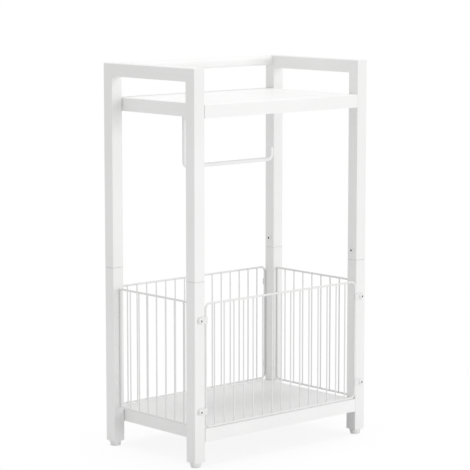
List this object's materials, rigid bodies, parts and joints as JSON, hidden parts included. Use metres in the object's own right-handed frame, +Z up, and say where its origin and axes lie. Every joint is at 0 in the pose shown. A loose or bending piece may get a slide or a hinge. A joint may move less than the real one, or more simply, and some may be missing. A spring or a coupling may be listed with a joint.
{
  "type": "toilet paper storage shelf",
  "caption": "Free-standing bathroom stand of white square tube with a top shelf tray, a wire basket round a lower shelf tray, a hanging bent rod for a paper roll and screw feet.",
  "frame": {"origin": "on the floor under the middle of the stand, feet screwed right in", "axes": "+X to the stand's right seen from its front, +Y to its back, +Z up"},
  "size_m": [0.44, 0.2726, 0.736],
  "materials": {
    "frame": "satin powder coat",
    "shelf": "satin powder coat",
    "wire": "satin powder coat",
    "rod": "satin powder coat",
    "screw": "satin paint, bare socket",
    "steel": "zinc plated",
    "plug": "moulded",
    "foot": "moulded"
  },
  "bodies": {
    "stand": {"left_upper_frame": "frame", "right_upper_frame": "frame", "back_rail": "frame", "front_left_leg": "frame", "front_left_sleeve": "steel", "front_left_foot_plug": "plug", "front_right_leg": "frame", "front_right_sleeve": "steel", "front_right_foot_plug": "plug", "back_left_leg": "frame", "back_left_sleeve": "steel", "back_left_foot_plug": "plug", "back_right_leg": "frame", "back_right_sleeve": "steel", "back_right_foot_plug": "plug", "top_shelf_tray": "shelf", "lower_shelf_tray": "shelf", "top_shelf_stiffener": "shelf", "lower_shelf_stiffener": "shelf", "front_wire_panel": "wire", "back_wire_panel": "wire", "left_wire_panel": "wire", "right_wire_panel": "wire", "roll_holder_rod": "rod", "panel_screws": "screw", "seam_screws": "screw", "top_shelf_screws": "steel", "lower_shelf_screws": "steel", "shelf_rivet_nuts": "steel", "panel_rivet_nuts": "steel", "roll_holder_screws": "steel", "roll_holder_nuts": "steel"},
    "front_left_foot": {"front_left_foot_pad": "foot", "front_left_foot_stem": "steel"},
    "front_right_foot": {"front_right_foot_pad": "foot", "front_right_foot_stem": "steel"},
    "back_left_foot": {"back_left_foot_pad": "foot", "back_left_foot_stem": "steel"},
    "back_right_foot": {"back_right_foot_pad": "foot", "back_right_foot_stem": "steel"}
  },
  "joints": [
    {"name": "front_left_foot_slide", "type": "slide", "parent": "stand", "child": "front_left_foot", "axis": [0, 0, -1], "range_m": [0, 0.01]},
    {"name": "front_right_foot_slide", "type": "slide", "parent": "stand", "child": "front_right_foot", "axis": [0, 0, -1], "range_m": [0, 0.01]},
    {"name": "back_left_foot_slide", "type": "slide", "parent": "stand", "child": "back_left_foot", "axis": [0, 0, -1], "range_m": [0, 0.01]},
    {"name": "back_right_foot_slide", "type": "slide", "parent": "stand", "child": "back_right_foot", "axis": [0, 0, -1], "range_m": [0, 0.01]}
  ]
}
